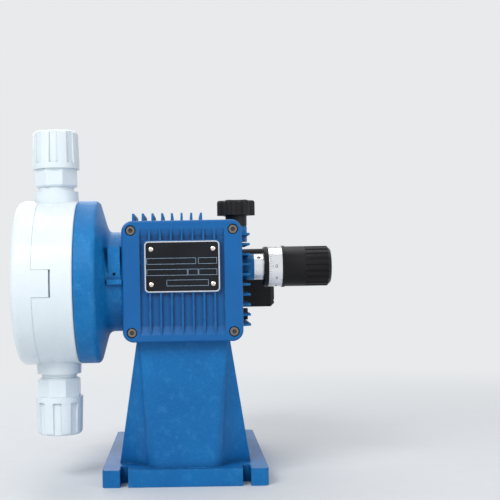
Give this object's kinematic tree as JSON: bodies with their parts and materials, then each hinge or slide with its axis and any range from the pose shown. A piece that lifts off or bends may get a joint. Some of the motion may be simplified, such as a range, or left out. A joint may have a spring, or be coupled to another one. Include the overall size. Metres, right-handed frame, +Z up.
{
  "type": "diaphragm metering pump",
  "caption": "Motor-driven diaphragm metering pump with a white pump head, finned gear case, stroke adjusting knob and pedestal.",
  "frame": {"origin": "on the underside of the base, below the middle of the gear case cover and the push rod axis", "axes": "+Z up, +X from the pump head to the stroke knob, +Y from the gear case cover to the motor"},
  "size_m": [0.324, 0.3255, 0.3655],
  "materials": {
    "blue_paint": "satin",
    "white_polymer": "satin",
    "black_polymer": "satin",
    "plate_black": "satin",
    "zinc_steel": "satin",
    "ground_steel": "polished",
    "satin_aluminium": "satin",
    "bronze": "satin",
    "core_steel": "matte",
    "rubber": "matte",
    "valve_ceramic": "polished"
  },
  "bodies": {
    "pump": {"cable_gland": "black_polymer", "case_cover": "blue_paint", "cover_gasket": "rubber", "cover_screws": "zinc_steel", "discharge_cap": "white_polymer", "discharge_seal": "rubber", "discharge_seat": "valve_ceramic", "discharge_tail": "white_polymer", "discharge_valve": "white_polymer", "drain_plug": "zinc_steel", "fan_cowl": "blue_paint", "gear_case": "blue_paint", "head_bolts": "zinc_steel", "head_cover": "white_polymer", "lid_screws": "zinc_steel", "lock_screw": "zinc_steel", "motor_flange": "blue_paint", "motor_frame": "blue_paint", "motor_rear_bearing": "ground_steel", "nameplate": "plate_black", "nameplate_rivets": "zinc_steel", "pedestal": "blue_paint", "pedestal_screws": "zinc_steel", "pump_head": "white_polymer", "rear_shield": "blue_paint", "rod_bush": "bronze", "scale_sleeve": "satin_aluminium", "spring_seat": "ground_steel", "stator": "core_steel", "suction_cap": "white_polymer", "suction_seal": "rubber", "suction_seat": "valve_ceramic", "suction_tail": "white_polymer", "suction_valve": "white_polymer", "terminal_box": "black_polymer", "terminal_lid": "black_polymer", "wheel_bearings": "ground_steel", "worm_front_bearing": "ground_steel", "worm_rear_bearing": "ground_steel"},
    "drive": {"worm_shaft": "ground_steel", "rotor": "core_steel", "fan": "black_polymer"},
    "wheel": {"worm_wheel": "bronze", "eccentric_shaft": "ground_steel", "eccentric_bearing": "ground_steel"},
    "push_rod_set": {"push_rod": "ground_steel", "follower": "ground_steel", "spring_collar": "ground_steel", "support_plate": "ground_steel", "diaphragm": "rubber", "return_spring": "ground_steel"},
    "stop_slide": {"stop_rod": "ground_steel"},
    "stroke_knob_set": {"drum_ring": "black_polymer", "scale_drum": "satin_aluminium", "stroke_knob": "black_polymer"},
    "discharge_ball_set": {"discharge_ball": "valve_ceramic"},
    "suction_ball_set": {"suction_ball": "valve_ceramic"},
    "filler_lift_set": {"filler_seal": "rubber"},
    "filler_cap_set": {"filler_cap": "black_polymer"}
  },
  "joints": [
    {"name": "motor_spin", "type": "hinge", "parent": "pump", "child": "drive", "pos_m": [0, 0, 0.193], "axis": [0, 1, 0], "continuous": true},
    {"name": "wheel_spin", "type": "hinge", "parent": "pump", "child": "wheel", "pos_m": [-0.0282, 0, 0.193], "axis": [0, 0, 1], "continuous": true},
    {"name": "push_rod_stroke", "type": "slide", "parent": "pump", "child": "push_rod_set", "axis": [1, 0, 0], "range_m": [0, 0.004], "deforming": ["return_spring", "diaphragm"]},
    {"name": "stroke_setting", "type": "slide", "parent": "pump", "child": "stop_slide", "axis": [1, 0, 0], "range_m": [-0.004, 0]},
    {"name": "knob_turn", "type": "hinge", "parent": "stop_slide", "child": "stroke_knob_set", "pos_m": [0, 0, 0.2202], "axis": [1, 0, 0], "range_deg": [-1440, 0]},
    {"name": "discharge_ball_lift", "type": "slide", "parent": "pump", "child": "discharge_ball_set", "axis": [0, 0, 1], "range_m": [0, 0.003]},
    {"name": "suction_ball_lift", "type": "slide", "parent": "pump", "child": "suction_ball_set", "axis": [0, 0, 1], "range_m": [0, 0.003]},
    {"name": "filler_lift", "type": "slide", "parent": "pump", "child": "filler_lift_set", "axis": [0, 0, 1], "range_m": [0, 0.016]},
    {"name": "filler_turn", "type": "hinge", "parent": "filler_lift_set", "child": "filler_cap_set", "pos_m": [0.058, 0.012, 0.263], "axis": [0, 0, 1], "range_deg": [0, 2880]}
  ],
  "couplings": [
    {"joint": "wheel_spin", "follows": "motor_spin", "ratio": -0.041667},
    {"joint": "stroke_setting", "follows": "knob_turn", "m_per_rad": 0.00015915},
    {"joint": "filler_lift", "follows": "filler_turn", "m_per_rad": 0.00031831}
  ]
}
